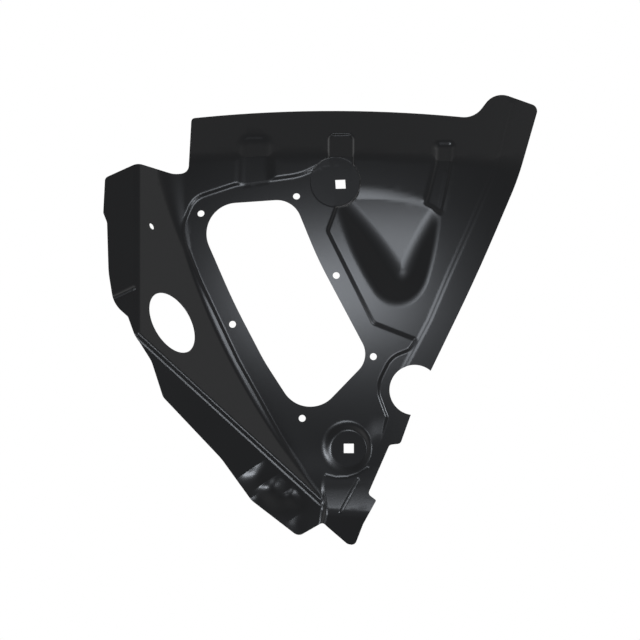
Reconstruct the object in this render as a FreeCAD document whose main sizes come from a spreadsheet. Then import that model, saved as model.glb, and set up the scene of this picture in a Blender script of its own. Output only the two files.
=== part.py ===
import FreeCAD, Part
import math
import os
from FreeCAD import Placement, Rotation, Vector

# Wheel housing panel: one pressed steel sheet, seen from its convex side.
# X runs to the right, Y away from the viewer, Z up, all in millimetres.
# The origin is the centre of the square hole in the lower raised seat.

os.makedirs("parts", exist_ok=True)
doc = FreeCAD.newDocument("wheel_housing_panel")
sizes = doc.addObject("Spreadsheet::Sheet", "Sizes")

SIZES = [
    # the sheet
    ("sheet_gauge", 1.0),
    # arched web: a barrel that curves round a level axis and across it
    ("arch_radius", 452.0),
    ("barrel_radius", 600.0),
    ("crown_x", -48.8),
    ("crown_depth", -6.0),
    ("crown_height", 80.5),
    # upper band, steeper than the web below its crease
    ("band_radius", 690.0),
    ("band_lean", 48.0),
    ("crease_height", 294.0),
    ("crease_round", 14.0),
    # side face, which rises from the web towards the viewer
    ("side_lean", 56.0),
    ("side_turn", 30.0),
    ("side_reach", 56.4),
    ("valley_round", 5.0),
    # upright weld flange left of the side face
    ("left_flange_x", -209.8),
    ("left_flange_turn", 20.0),
    ("fold_round", 4.0),
    # sloping weld flange under the side face
    ("low_flange_x", -18.8),
    ("low_flange_height", -59.2),
    ("low_flange_rise", 42.35),
    ("low_flange_turn", 25.0),
    ("joggle_rise", 1.3),
    ("joggle_width", 5.0),
    # bead across the left flange
    ("bead_radius", 4.0),
    ("bead_rise", 1.8),
    # sunk land round the window, with its ribs
    ("land_depth", 3.0),
    ("land_end_height", -46.0),
    ("land_full_height", 6.0),
    # strip along the right edge, raised from the web
    ("strip_rise", 1.5),
    # round pad at the upper square hole
    ("pad_x", -13.5),
    ("pad_height", 266.5),
    ("pad_radius", 25.0),
    ("pad_rim", 1.5),
    ("pad_drop", 0.8),
    # raised seat at the lower square hole
    ("seat_radius", 17.0),
    ("seat_lean", 16.0),
    ("seat_flare", 50.0),
    ("seat_top_round", 3.0),
    # triangular pocket
    ("pocket_floor_x", 42.2),
    ("pocket_floor_height", 256.5),
    ("pocket_floor_depth", 36.5),
    ("pocket_floor_fall", 0.10),
    ("pocket_floor_skew", 0.08),
    ("pocket_arc_radius", 93.0),
    ("pocket_arc_height", 167.2),
    ("pocket_floor_round", 4.0),
    ("pocket_corner_round", 5.4),
    ("pocket_corner_front", 46.0),
    ("pocket_front", 2.0),
    # holes
    ("screw_hole", 7.0),
    ("side_screw_hole", 7.0),
    ("square_hole", 10.0),
    ("round_opening", 66.0),
    ("scallop_radius", 25.1),
    ("scallop_x", 65.8),
    ("scallop_height", 58.5),
]

value = {}
for row, (alias, number) in enumerate(SIZES, start=1):
    sizes.set("A%d" % row, alias)
    sizes.set("B%d" % row, str(number))
    sizes.setAlias("B%d" % row, alias)
doc.recompute()
for alias, number in SIZES:
    value[alias] = float(sizes.get(alias))


# outlines, as corners (x, z, corner radius), run clockwise in the front view
PANEL_OUTLINE = [
    (-157.4, 330.2, 4.0), (-18.8, 343.7, 1350.0), (125.4, 330.3, 22.0),
    (146.1, 357.3, 20.0), (189.9, 341.8, 7.0), (169.1, 269.3, 280.0),
    (128.3, 173.5, 2000.0), (81.4, 76.6, 2.0), (61.5, 32.3, 1.0), (51.7, 4.9, 4.0),
    (40.7, 3.6, 4.0), (19.2, -45.5, 4.0), (27.5, -51.8, 1.5), (14.4, -75.5, 20.0),
    (6.0, -97.0, 5.0), (-1.5, -95.5, 5.0), (-22.2, -77.7, 3.0),
    (-26.0, -73.9, 4.0), (-50.5, -88.0, 8.0), (-97.4, -51.9, 20.0),
    (-127.6, -10.1, 60.0), (-185.8, 51.4, 10.0), (-197.3, 87.2, 25.0),
    (-215.0, 115.4, 14.0), (-221.0, 132.1, 6.0), (-235.3, 144.8, 28.0),
    (-240.3, 176.0, 80.0), (-241.8, 226.0, 6.0), (-245.6, 235.6, 5.0),
    (-243.8, 270.8, 5.0), (-211.3, 285.5, 14.0), (-173.8, 273.8, 25.0),
    (-160.4, 276.2, 8.0),
]
WINDOW_OUTLINE = [
    (-157.3, 242.9, 31.0), (-55.6, 249.9, 25.0), (-31.2, 190.2, 400.0),
    (21.6, 90.6, 23.0), (-43.3, 23.5, 30.5), (-84.2, 86.6, 200.0),
    (-115.3, 146.2, 600.0),
]
LAND_OUTLINE = [
    (-166.3, 216.5, 38.0), (-154.8, 249.5, 24.0), (-112.8, 264.0, 60.0),
    (-47.8, 273.0, 60.0), (-26.8, 284.0, 8.0), (-6.8, 286.5, 4.0),
    (-11.8, 243.5, 3.0), (-21.3, 217.5, 6.0), (24.7, 125.5, 8.0),
    (66.0, 109.4, 2.5), (60.2, 98.5, 6.0), (42.2, 91.5, 25.0),
    (27.2, 61.5, 30.0), (38.2, 31.5, 4.0), (32.2, 11.5, 10.0),
    (13.2, -29.5, 20.0), (-6.8, -63.5, 2.0), (-20.8, -57.0, 2.0),
    (-54.8, -9.5, 60.0), (-108.3, 88.6, 150.0), (-148.1, 165.5, 150.0),
]
CENTRE_RIB = [
    (-20.2, 313.8, 5.0), (4.6, 313.8, 5.0), (4.6, 268.5, 2.0), (-20.2, 268.5, 2.0),
]
LEFT_RIB = [
    (-107.3, 311.5, 9.0), (-79.3, 311.5, 9.0), (-77.3, 262.5, 4.0), (-109.3, 257.5, 4.0),
]
RIGHT_RIB = [
    (86.7, 305.0, 4.0), (104.2, 305.0, 4.0), (103.2, 285.5, 20.0), (92.2, 234.5, 3.0),
    (76.2, 244.5, 3.0), (81.2, 263.5, 20.0), (86.7, 285.5, 20.0),
]
STRIP_OUTLINE = [
    (163.2, 400.0, 1.0), (164.7, 384.0, 40.0), (162.0, 340.5, 40.0), (151.0, 295.0, 60.0),
    (137.2, 258.5, 200.0), (79.9, 126.0, 200.0), (48.0, 58.0, 1.0), (300.0, 58.0, 1.0),
    (300.0, 400.0, 1.0),
]
SCREW_PAIRS = [
    ((-147.9, 235.1), (-52.3, 252.3)),
    ((-116.3, 124.2), (-12.5, 173.1)),
    ((-46.6, 30.1), (24.6, 91.9)),
]
LAND_END_WIDTH = (-40.0, 22.0)
BEAD_ENDS = ((-250.0, 153.0), (-215.6, 160.4))
SIDE_SCREW_HOLE = (-196.8, 222.3)
ROUND_OPENING = (-176.4, 125.9)
UPPER_SQUARE_HOLE = (-8.3, 264.4)

FAR = 900.0


def rounded_wire(corners, depth):
    # closed wire of straight runs joined by tangent arcs, at one depth
    count = len(corners)
    ends = []
    for i, (x, z, radius) in enumerate(corners):
        here = Vector(x, depth, z)
        before = Vector(corners[i - 1][0], depth, corners[i - 1][1])
        after = Vector(corners[(i + 1) % count][0], depth, corners[(i + 1) % count][1])
        to_before = (before - here).normalize()
        to_after = (after - here).normalize()
        half = to_before.getAngle(to_after) / 2.0
        run = radius / math.tan(half)
        middle = (to_before + to_after).normalize()
        reach = radius / math.sin(half) - radius
        ends.append((here + to_before * run, here + middle * reach, here + to_after * run))
    edges = []
    for i in range(count):
        start, middle, end = ends[i]
        edges.append(Part.Arc(start, middle, end).toShape())
        following = ends[(i + 1) % count][0]
        if end.distanceToPoint(following) > 0.001:
            edges.append(Part.LineSegment(end, following).toShape())
    return Part.Wire(edges)


def prism(corners, grow=0.0, front=-300.0, back=500.0):
    # the outline carried straight through in depth, grown or shrunk in its plane
    wire = rounded_wire(corners, front)
    if abs(grow) > 0.0001:
        wire = wire.makeOffset2D(grow, 0, False, False, False)
    face = Part.Face(wire)
    return face.extrude(Vector(0, back - front, 0))


def half_space(point, normal, inset):
    # everything behind a plane; normal points out of the metal to the viewer
    outward = Vector(normal).normalize()
    box = Part.makeBox(2 * FAR, 2 * FAR, FAR)
    box.translate(Vector(-FAR, -FAR, -FAR - inset))
    box.Placement = Placement(point, Rotation(Vector(0, 0, 1), outward)).multiply(box.Placement)
    return box


# arched web
axis_depth = value["crown_depth"] + value["arch_radius"]
barrel_depth = value["crown_depth"] + value["barrel_radius"]


def web_depth(x, z):
    # depth of the web's front surface at a place in the front view
    across = x - value["crown_x"]
    drop = value["barrel_radius"] - math.sqrt(value["barrel_radius"] ** 2 - across ** 2)
    radius = value["arch_radius"] - drop
    return axis_depth - math.sqrt(radius ** 2 - (z - value["crown_height"]) ** 2)


def web_body(inset):
    radius = value["barrel_radius"] - inset
    half = 300.0
    x0 = value["crown_x"]
    rise = radius - math.sqrt(radius ** 2 - half ** 2)
    tip = value["arch_radius"] - inset
    # the profile stands behind the axis, so that the seam stays at the back
    left = Vector(x0 - half, axis_depth + tip - rise, value["crown_height"])
    top = Vector(x0, axis_depth + tip, value["crown_height"])
    right = Vector(x0 + half, axis_depth + tip - rise, value["crown_height"])
    left_axis = Vector(x0 - half, axis_depth, value["crown_height"])
    right_axis = Vector(x0 + half, axis_depth, value["crown_height"])
    profile = Part.Wire([
        Part.Arc(left, top, right).toShape(),
        Part.LineSegment(right, right_axis).toShape(),
        Part.LineSegment(right_axis, left_axis).toShape(),
        Part.LineSegment(left_axis, left).toShape(),
    ])
    return Part.Face(profile).revolve(right_axis, Vector(1, 0, 0), 360)


def band_body(inset):
    lean = math.radians(value["band_lean"])
    along = Vector(0, math.sin(lean), math.cos(lean))
    outward = Vector(0, -math.cos(lean), math.sin(lean))
    foot = Vector(value["crown_x"], web_depth(value["crown_x"], value["crease_height"]),
                  value["crease_height"])
    centre = foot - outward * value["band_radius"]
    return Part.makeCylinder(value["band_radius"] - inset, 2 * FAR, centre - along * FAR, along)


# side face and its two weld flanges
turn = math.radians(value["side_turn"])
lean = math.radians(value["side_lean"])
SIDE_OUT = Vector(math.sin(lean) * math.cos(turn), -math.cos(lean), math.sin(lean) * math.sin(turn))
SIDE_FALL = Vector(math.cos(turn), 0, math.sin(turn))


def side_depth(x, z):
    # depth of the side face: it recedes to the upper right
    reach = (x * SIDE_FALL.x + z * SIDE_FALL.z) + value["side_reach"]
    return reach * math.tan(lean)


def on_side(x, z):
    return Vector(x, side_depth(x, z), z)


LEFT_FOLD = (on_side(value["left_flange_x"], 160.0), on_side(value["left_flange_x"], 280.0))
low_rise = math.radians(value["low_flange_rise"])
LOW_A = on_side(value["low_flange_x"], value["low_flange_height"])
LOW_B = on_side(value["low_flange_x"] - 100 * math.cos(low_rise),
                value["low_flange_height"] + 100 * math.sin(low_rise))


def turned_from_viewer(fold_start, fold_end, degrees, away):
    # normal of a flange that hangs on a fold and turns from the viewer by an angle
    along = (fold_end - fold_start).normalize()
    facing = Vector(0, -1, 0) - along * along.dot(Vector(0, -1, 0))
    facing.normalize()
    across = along.cross(facing)
    if across.dot(away) < 0:
        across = across * -1
    angle = math.radians(degrees)
    return facing * math.cos(angle) + across * math.sin(angle)


LEFT_OUT = turned_from_viewer(LEFT_FOLD[0], LEFT_FOLD[1], value["left_flange_turn"],
                              Vector(-1, 0, 0))
LOW_OUT = turned_from_viewer(LOW_A, LOW_B, value["low_flange_turn"], Vector(-1, 0, -1))


def side_body(inset):
    body = half_space(on_side(-180.0, 150.0), SIDE_OUT, inset)
    body = body.common(half_space(LEFT_FOLD[0], LEFT_OUT, inset))
    body = body.common(half_space(LOW_A, LOW_OUT, inset))
    frame = Part.makeBox(800, 800, 900, Vector(-500, -400, -400))
    return body.common(frame)


seat_tilt = math.radians(value["seat_lean"])
SEAT_OUT = Vector(0, -math.cos(seat_tilt), -math.sin(seat_tilt))


def seat_body(inset):
    # raised round seat: a flat top on a flared wall, square to its own lean
    flare = math.radians(value["seat_flare"])
    depth = 26.0
    top = value["seat_radius"] + inset * math.tan(flare) - inset / math.cos(flare)
    foot = top + depth * math.tan(flare)
    cone = Part.makeCone(top, foot, depth, SEAT_OUT * -inset, SEAT_OUT * -1)
    rim = [e for e in cone.Edges
           if len(e.Vertexes) == 1 and abs(e.Curve.Radius - top) < 0.01]
    return rounded(cone, value["seat_top_round"] - inset, rim, "seat top")


def plane_through(a, b, c):
    # point and normal of the plane through three points, normal to the viewer
    normal = (b - a).cross(c - a).normalize()
    if normal.y > 0:
        normal = normal * -1
    return a, normal


def floor_point(x, z):
    depth = (value["pocket_floor_depth"]
             + value["pocket_floor_fall"] * (z - value["pocket_floor_height"])
             + value["pocket_floor_skew"] * (x - value["pocket_floor_x"]))
    return Vector(x, depth, z)


def web_point(x, z):
    return Vector(x, web_depth(x, z), z)


def pocket_walls():
    floor = plane_through(floor_point(0, 250), floor_point(40, 250), floor_point(40, 200))
    left = plane_through(floor_point(-2.1, 241.5), floor_point(48.4, 175.6),
                         web_point(7.1, 194.0))
    right = plane_through(floor_point(89.8, 238.5), floor_point(56.1, 174.1),
                          web_point(82.1, 186.3))
    nose = plane_through(floor_point(42.0, 171.8), floor_point(62.0, 171.8),
                         web_point(51.0, 145.7))
    return floor, left, right, nose


def pocket_tool(inset):
    # hollow with a sloping floor, two flared walls and a nose wall at the lower end
    floor, left, right, nose = pocket_walls()
    front = value["pocket_front"]
    tool = Part.makeBox(300, 300, 300, Vector(-100, front, 60))
    for point, normal in (floor, left, right, nose):
        tool = tool.cut(half_space(point, normal, inset))
    arc = Part.makeCylinder(value["pocket_arc_radius"] + inset, 400,
                            Vector(value["pocket_floor_x"] + 0.7, -200,
                                   value["pocket_arc_height"]), Vector(0, 1, 0))
    tool = tool.common(arc)

    def floor_gap(point):
        return plane_gap(point, *floor)

    def left_wall_gap(point):
        return plane_gap(point, *left)

    def right_wall_gap(point):
        return plane_gap(point, *right)

    def nose_gap(point):
        return plane_gap(point, *nose)

    # the rounds at the nose open out from the floor to the front
    for wall_gap in (left_wall_gap, right_wall_gap):
        corner = edges_between(tool, wall_gap, nose_gap, inset)
        ends = [v.Point.y for v in corner[0].Vertexes]
        radii = [value["pocket_corner_round"] + inset, value["pocket_corner_front"] + inset]
        if ends[0] < ends[-1]:
            radii.reverse()
        tool = tool.makeFillet(radii[0], radii[1], corner)
        if tool.isNull() or not tool.isValid():
            raise RuntimeError("round failed at pocket corner")
    bottom = [e for e in tool.Edges if all_on(e, floor_gap, inset)]
    bottom = [e for e in bottom if e.valueAt(sum(e.ParameterRange) / 2.0).z < 250.0]
    tool = rounded(tool, value["pocket_floor_round"] + inset, bottom, "pocket floor")
    pad_keep = Part.makeCylinder(value["pad_radius"] + value["pad_rim"] - inset, 800,
                                 Vector(value["pad_x"], -300, value["pad_height"]),
                                 Vector(0, 1, 0))
    return tool.cut(pad_keep)


def barrel_gap(point):
    # how far a point lies behind the web's front surface, measured square to it
    across = point.x - value["crown_x"]
    drop = value["barrel_radius"] - math.sqrt(value["barrel_radius"] ** 2 - across ** 2)
    radius = value["arch_radius"] - drop
    out = math.hypot(point.y - axis_depth, point.z - value["crown_height"])
    return (radius - out) * math.cos(math.asin(across / value["barrel_radius"]))


def band_gap(point):
    lean_angle = math.radians(value["band_lean"])
    outward = Vector(0, -math.cos(lean_angle), math.sin(lean_angle))
    foot = Vector(value["crown_x"], web_depth(value["crown_x"], value["crease_height"]),
                  value["crease_height"])
    centre = foot - outward * value["band_radius"]
    along = Vector(0, math.sin(lean_angle), math.cos(lean_angle))
    arm = point - centre
    arm = arm - along * arm.dot(along)
    return value["band_radius"] - arm.Length


def plane_gap(point, on, normal):
    return -(point - on).dot(normal)


def side_gap(point):
    return plane_gap(point, on_side(0, 0), SIDE_OUT)


def left_gap(point):
    return plane_gap(point, LEFT_FOLD[0], LEFT_OUT)


def low_gap(point):
    return plane_gap(point, LOW_A, LOW_OUT)


def edges_between(shape, first, second, inset, slack=0.05):
    # edges whose middle lies on both named surfaces
    found = []
    for edge in shape.Edges:
        low, high = edge.ParameterRange
        hits = 0
        for share in (0.25, 0.5, 0.75):
            point = edge.valueAt(low + (high - low) * share)
            if abs(first(point) - inset) < slack and abs(second(point) - inset) < slack:
                hits += 1
        if hits == 3:
            found.append(edge)
    return found


def all_on(edge, gap, inset, slack=0.05):
    low, high = edge.ParameterRange
    shares = (0.1, 0.5, 0.9)
    return all(abs(gap(edge.valueAt(low + (high - low) * k)) - inset) < slack for k in shares)


def rounded(shape, radius, edges, name):
    # one round on the named edges, checked to have worked
    if not edges:
        raise RuntimeError("no edge found for " + name)
    done = shape.makeFillet(radius, edges)
    if done.isNull() or not done.isValid() or done.Volume <= 0:
        raise RuntimeError("round failed at " + name)
    return done


def web_out(x, z):
    # the web's outward normal at a place in the front view
    across = (x - value["crown_x"]) / value["barrel_radius"]
    level = math.sqrt(1.0 - across ** 2)
    here = web_point(x, z)
    arm = Vector(0, here.y - axis_depth, z - value["crown_height"]).normalize()
    return (Vector(across, 0, 0) + arm * level).normalize()


PAD_OUT = web_out(value["pad_x"], value["pad_height"])
PAD_CENTRE = (web_point(value["pad_x"], value["pad_height"])
              - PAD_OUT * (value["land_depth"] + value["pad_drop"]))


def on_pad(x, z):
    # point of the flat pad at a place in the front view
    arm = Vector(x, 0, z) - Vector(PAD_CENTRE.x, 0, PAD_CENTRE.z)
    depth = PAD_CENTRE.y - (arm.x * PAD_OUT.x + arm.z * PAD_OUT.z) / PAD_OUT.y
    return Vector(x, depth, z)


def pad_tool(inset):
    # everything in front of the flat round pad
    return Part.makeCylinder(value["pad_radius"] + inset, 60,
                             PAD_CENTRE - PAD_OUT * inset, PAD_OUT)


def land_floor(x, z):
    return web_point(x, z) - web_out(x, z) * value["land_depth"]


def land_end(inset):
    # everything behind a plane that brings the land's floor up to the web at its lower end
    high = value["land_full_height"]
    left, right = LAND_END_WIDTH
    on = web_point((left + right) / 2.0, value["land_end_height"])
    on, normal = plane_through(on, land_floor(left, high), land_floor(right, high))
    below = Part.makeBox(2 * FAR, 2 * FAR, FAR, Vector(-FAR, -FAR, high - FAR))
    return half_space(on, normal, inset).common(below)


def joggle_body(inset):
    # low flange away from its fold, set forward by the joggle
    body = half_space(LOW_A, LOW_OUT, inset - value["joggle_rise"])
    body = body.common(half_space(LOW_A, SIDE_OUT, inset + value["joggle_width"]))
    return body.common(half_space(LEFT_FOLD[0], LEFT_OUT, inset))


def bead_body(inset):
    # half-round bead across the left flange, with a ball end by the fold
    ends = []
    for x, z in BEAD_ENDS:
        arm = Vector(x, 0, z) - Vector(LEFT_FOLD[0].x, 0, LEFT_FOLD[0].z)
        depth = LEFT_FOLD[0].y - (arm.x * LEFT_OUT.x + arm.z * LEFT_OUT.z) / LEFT_OUT.y
        on = Vector(x, depth, z)
        ends.append(on + LEFT_OUT * (value["bead_rise"] - value["bead_radius"]))
    radius = value["bead_radius"] - inset
    along = ends[1] - ends[0]
    bar = Part.makeCylinder(radius, along.Length, ends[0], along)
    return bar.fuse(Part.makeSphere(radius, ends[1]))


def stamping_frame(margin):
    # block of material a little larger than the panel
    return Part.makeBox(480 + 2 * margin, 900, 480 + 2 * margin,
                        Vector(-255 - margin, -300, -110 - margin))


def arch_form(inset):
    arch = web_body(inset).common(band_body(inset))
    crease = edges_between(arch, barrel_gap, band_gap, inset)
    return rounded(arch, value["crease_round"] - inset, crease, "crease")


def press_form(inset, margin):
    frame = stamping_frame(margin)
    side = side_body(inset)
    folds = (edges_between(side, side_gap, left_gap, inset)
             + edges_between(side, side_gap, low_gap, inset))
    side = rounded(side, value["fold_round"] - inset, folds, "side folds").common(frame)
    arch = arch_form(inset).common(frame)
    form = arch.fuse(side)
    valley = (edges_between(form, barrel_gap, side_gap, inset)
              + edges_between(form, band_gap, side_gap, inset))
    form = rounded(form, value["valley_round"] + inset, valley, "valley").toNurbs()
    strip = prism(STRIP_OUTLINE, -inset).common(arch_form(inset - value["strip_rise"]))
    form = form.fuse(strip.common(frame).toNurbs())
    form = form.fuse(joggle_body(inset).common(frame))
    form = form.fuse(bead_body(inset))
    # land and ribs, sunk to one depth below the arch
    sunk = prism(LAND_OUTLINE, inset).cut(land_end(inset))
    for outline in (CENTRE_RIB, LEFT_RIB, RIGHT_RIB):
        sunk = sunk.fuse(prism(outline, inset))
    pad = Part.makeCylinder(value["pad_radius"] + inset, 800,
                            Vector(value["pad_x"], -300, value["pad_height"]), Vector(0, 1, 0))
    sunk = sunk.fuse(pad)
    sunk = sunk.cut(arch_form(inset + value["land_depth"]).toNurbs())
    form = form.cut(sunk)
    form = form.cut(pad_tool(inset))
    form = form.cut(pocket_tool(inset))
    form = form.fuse(seat_body(inset))
    return form


def add_shape(name, shape):
    # a form that Part's own functions make from the sheet's values
    item = doc.addObject("Part::Feature", name)
    item.Shape = shape
    item.Label = name
    return item


def add_drill(name, centre, axis, alias, reach=12.0):
    # round hole: a cylinder whose diameter is bound to the sheet
    item = doc.addObject("Part::Cylinder", name)
    item.Label = name
    item.setExpression("Radius", "Sizes.%s / 2" % alias)
    item.Height = 2 * reach
    item.Placement = Placement(centre - axis * reach, Rotation(Vector(0, 0, 1), axis))
    return item


def add_square(name, centre, out, twist, reach=10.0):
    # square hole: a box whose sides are bound to the sheet
    half = value["square_hole"] / 2.0
    side = Vector(math.cos(math.radians(twist)), 0, math.sin(math.radians(twist)))
    up = out.cross(side).normalize()
    side = up.cross(out).normalize()
    turn_to = Rotation(side, up, out, "ZXY")
    item = doc.addObject("Part::Box", name)
    item.Label = name
    item.setExpression("Length", "Sizes.square_hole")
    item.setExpression("Width", "Sizes.square_hole")
    item.Height = 2 * reach
    item.Placement = Placement(centre - out * reach - side * half - up * half, turn_to)
    return item


def land_point(x, z):
    # point of the sunk land at a place in the front view
    return web_point(x, z) - Vector(0, value["land_depth"] / web_out(x, z).y, 0)


drills = []
for k, (one, other) in enumerate(SCREW_PAIRS, start=1):
    ends = [land_point(*one), land_point(*other)]
    chord = (ends[1] - ends[0]).normalize()
    axis = web_out(*one) + web_out(*other)
    axis = (axis - chord * axis.dot(chord)).normalize()
    for side_name, centre in zip(("left", "right"), ends):
        drills.append(add_drill("screw_hole_%d_%s" % (k, side_name), centre, axis, "screw_hole"))
drills.append(add_drill("side_screw_hole_cut", on_side(*SIDE_SCREW_HOLE), SIDE_OUT,
                        "side_screw_hole"))
drills.append(add_drill("round_opening_cut", on_side(*ROUND_OPENING), SIDE_OUT,
                        "round_opening"))
squares = [
    add_square("upper_square_cut", on_pad(*UPPER_SQUARE_HOLE), PAD_OUT, 4.0),
    add_square("lower_square_cut", Vector(0, 0, 0), SEAT_OUT, 0.0),
]
scallop = doc.addObject("Part::Cylinder", "scallop_cut")
scallop.setExpression("Radius", "Sizes.scallop_radius")
scallop.Height = 400
scallop.Placement = Placement(Vector(value["scallop_x"], -200, value["scallop_height"]),
                              Rotation(Vector(0, 0, 1), Vector(0, 1, 0)))

front_form = add_shape("front_form", press_form(0.0, 0.0))
back_form = add_shape("back_form", press_form(value["sheet_gauge"], 20.0))
blank = add_shape("trim_outline", prism(PANEL_OUTLINE))
window = add_shape("window_cut", prism(WINDOW_OUTLINE))

trimmed = doc.addObject("Part::Common", "trimmed_form")
trimmed.Base = front_form
trimmed.Tool = blank
sheet_metal = doc.addObject("Part::Cut", "pressed_sheet")
sheet_metal.Base = trimmed
sheet_metal.Tool = back_form
piercing = doc.addObject("Part::MultiFuse", "piercing")
piercing.Shapes = drills + squares + [scallop, window]
panel = doc.addObject("Part::Cut", "wheel_housing_panel")
panel.Base = sheet_metal
panel.Tool = piercing
panel.Label = "wheel_housing_panel"
doc.recompute()

for item in doc.Objects:
    if "Invalid" in item.State or "Error" in item.State:
        raise RuntimeError(item.Name + " failed")
if panel.Shape.isNull() or not panel.Shape.isValid():
    raise RuntimeError("the panel has no sound shape")
if len(panel.Shape.Solids) != 1:
    raise RuntimeError("the panel is not one piece")
print("volume", round(panel.Shape.Volume), "mm3, faces", len(panel.Shape.Faces))
panel.Shape.exportStep("parts/wheel_housing_panel.step")
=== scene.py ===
import math

import bmesh
import bpy
import numpy as np
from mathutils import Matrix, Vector


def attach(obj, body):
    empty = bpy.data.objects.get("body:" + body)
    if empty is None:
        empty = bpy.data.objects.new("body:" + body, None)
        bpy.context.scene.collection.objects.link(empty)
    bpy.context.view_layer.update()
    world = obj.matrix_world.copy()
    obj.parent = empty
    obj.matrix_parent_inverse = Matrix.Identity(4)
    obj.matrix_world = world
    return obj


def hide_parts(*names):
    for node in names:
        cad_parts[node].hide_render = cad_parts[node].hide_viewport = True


bl_info = {
    "name": "Wheel housing panel",
    "version": (1, 0, 0),
    "blender": (4, 5, 0),
    "location": "View3D > Sidebar > Panel",
    "description": "Pressed wheel housing panel in black primer, with its studio",
    "category": "Object",
}

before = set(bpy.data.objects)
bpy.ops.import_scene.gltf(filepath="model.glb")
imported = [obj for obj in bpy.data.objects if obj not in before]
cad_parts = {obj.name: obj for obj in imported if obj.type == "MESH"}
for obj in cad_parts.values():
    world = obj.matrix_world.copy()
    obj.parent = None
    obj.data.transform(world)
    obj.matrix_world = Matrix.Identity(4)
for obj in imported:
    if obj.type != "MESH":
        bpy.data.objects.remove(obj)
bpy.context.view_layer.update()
MM = 0.001
NODE = "wheel_housing_panel"

# Sizes of the form are in mm: x to the right and z up in the front view, y away from
# the viewer. Leans are in radians, rounds are radii.

# web: an arch about a level axis, barrelled from side to side
ARCH_R, BARREL_R = 452.0, 600.0
CROWN = (-48.8, -6.0, 80.5)
AXIS_Y = CROWN[1] + ARCH_R

# upper band, which leans away above the crease
BAND_R, BAND_LEAN, CREASE_Z = 690.0, math.radians(48.0), 294.0
CREASE_ROUND = 2.2

# side face with its left and low flanges; the turns are from the viewer's direction
SIDE_LEAN, SIDE_TURN, SIDE_REACH = math.radians(56.0), math.radians(30.0), 56.4
LEFT_FOLD_X, LEFT_FOLD_Z, LEFT_TURN = -209.8, (160.0, 280.0), math.radians(20.0)
LOW_FOLD, LOW_RISE, LOW_TURN = (-18.8, -59.2), math.radians(42.35), math.radians(25.0)
LEFT_FOLD_ROUND, LOW_FOLD_ROUND = 1.6, 2.4
# distance to the second point that gives the low fold's direction
FOLD_RUN = 100.0

# joggle along the low fold: step, run along the side face, rounds at its edge and ends
JOGGLE_STEP, JOGGLE_RUN, JOGGLE_ROUND, JOGGLE_END = 1.5, 4.4, 1.8, 1.0
# the fold and its joggle in the front view: middle and half width of their band
FOLD_MIDDLE, FOLD_HALF = -2.4, 3.4

# valley between web and side face, its round growing towards the top
VALLEY_ROUND, VALLEY_GROWTH, VALLEY_Z, VALLEY_SPAN = 3.6, 14.0, 200.0, 90.0

# sunk land along the web: depth, round, lean of its wall
LAND_DEPTH, LAND_ROUND, LAND_LEAN = 3.0, 0.9, 0.75
# the wall leans more at the upper left: added lean, then start and span in z and x
LAND_MORE_LEAN, LEAN_Z, LEAN_X, LEAN_SPAN = 0.14, 232.0, -20.0, 20.0
# the land runs out downwards: start and span in z, and what changes on its right part
RUNOUT_Z, RUNOUT_SPAN, RUNOUT_SHIFT, RUNOUT_TIGHTER = -46.0, 50.0, 44.0, 14.0
RIGHT_PART_X, RIGHT_PART_SPAN = -5.0, 35.0

# raised strip along the right edge
STRIP_HEIGHT, STRIP_LEAN, STRIP_ROUND = 1.5, 1.15, 0.8

# round pad: middle and radius, drop below the land, round
PAD = (-13.5, 266.5, 25.0)
PAD_DROP, PAD_ROUND = 0.8, 0.7

# pocket floor: a point (x, y, z) on it, its slopes along z and along x
POCKET_ON = (42.2, 36.5, 256.5)
POCKET_SLOPE_Z, POCKET_SLOPE_X = 0.10, 0.11
# its sag: depth, middle height, half span
POCKET_SAG, SAG_Z, SAG_HALF = 2.0, 214.0, 36.0
# corner between the pocket's walls: radius at the floor, growth per mm, up to a height
CORNER_ROUND, CORNER_GROWTH, CORNER_TOP = 4.0, 1.25, 40.0
POCKET_FOOT_ROUND, POCKET_EDGE_ROUND = 5.0, 2.2
POCKET_TOP_Z, PAD_CLEARANCE = 272.0, 1.5

# dished tip: y at its height TIP_Z, bend along z, turn along x
TIP_LEVEL, TIP_Z, TIP_BEND, TIP_TURN = 10.4, -45.0, 0.0035, 0.05
# x about which it turns, z above which it doesn't bend, z at which it stops
TIP_TURN_X, TIP_FLAT_Z, TIP_TOP_Z = -8.0, -35.0, -22.0
TIP_END_ROUND, TIP_EDGE_ROUND, TIP_JOIN_ROUND = 3.0, 2.0, 2.0

# round seat of the lower square hole: lean, radius of its flat top
SEAT_LEAN, SEAT_R = math.radians(16.0), 17.0
# its foot is an oval: middle in x, half width, half height
FOOT_X, FOOT_WIDE, FOOT_TALL = -2.4, 26.3, 28.8
# shares of the wall that bend away from the top and into the foot, steps of the curve
WALL_BEND_TOP, WALL_BEND_FOOT, WALL_STEPS = 0.25, 0.5, 200

# flutes across the low flange: start, half length, slope, width
FLUTES = [
    ((-97.8, -20.5), 15.0, 0.56, 10.0),
    ((-82.8, -33.5), 12.0, 0.85, 9.0),
    ((-61.8, -42.0), 7.0, 0.80, 6.0),
    ((-56.8, -70.5), 8.0, 0.62, 8.0),
    ((-96.8, -48.5), 6.0, 0.45, 6.0),
]
# their direction, and how far they run on, in widths
FLUTE_LINE, FLUTE_TAIL = (0.56, -0.83), 3.0
# they fade in across the flange: direction towards its edge, start, span
FLUTE_WAY, FLUTE_START, FLUTE_SPAN = (0.674, 0.739), 60.0, 10.0

# bead across the left flange
BEAD = [(-242.8, 147.5), (-215.0, 160.7)]
BEAD_HEIGHT, BEAD_HALF = 1.8, 1.7

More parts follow.
